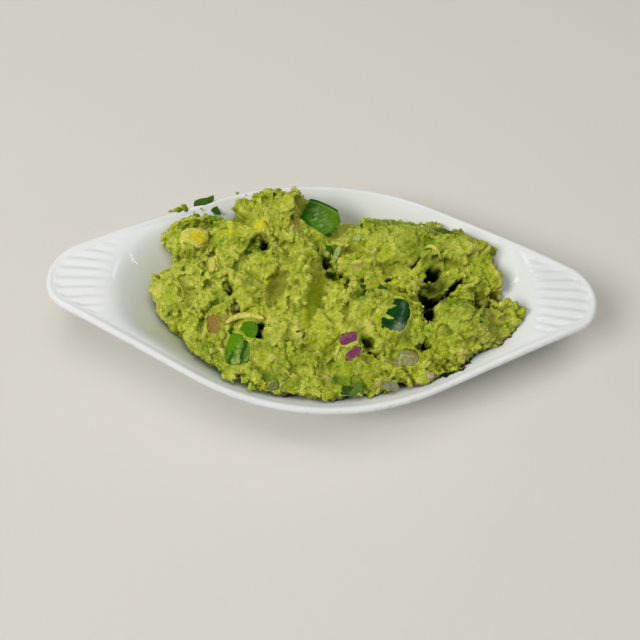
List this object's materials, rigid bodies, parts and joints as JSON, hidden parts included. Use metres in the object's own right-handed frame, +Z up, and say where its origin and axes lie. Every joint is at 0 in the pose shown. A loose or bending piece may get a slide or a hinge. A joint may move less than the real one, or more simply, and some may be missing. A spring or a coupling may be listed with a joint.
{
  "type": "dish of guacamole",
  "caption": "Chunky guacamole with pepper and onion pieces, heaped in a white oval porcelain dish with a flat fluted handle at each end.",
  "frame": {"origin": "centre of the dish's foot, on the plane that it stands on", "axes": "+Z up, X through both handles, the lower side of the heap at -Y"},
  "size_m": [0.258, 0.121, 0.0598],
  "materials": {
    "porcelain": "white gloss glaze",
    "mash": "moist coarse mash, yellow-green with paler and darker lumps",
    "pepper": "wet cut green pepper flesh",
    "pepper_skin": "glossy dark green pepper skin",
    "onion_red": "wet purple onion",
    "onion_pale": "wet translucent pale onion",
    "onion_tan": "onion, browned pink",
    "avocado": "ripe yellow avocado flesh"
  },
  "bodies": {
    "root": {"dish": "porcelain", "guacamole": "mash", "pepper_back": "pepper", "pepper_dark": "pepper_skin", "pepper_front": "pepper", "pepper_lower": "pepper", "onion_red_upper": "onion_red", "onion_red_lower": "onion_red", "onion_pale": "onion_pale", "onion_tan": "onion_tan", "avocado_chunk": "avocado"}
  },
  "joints": []
}
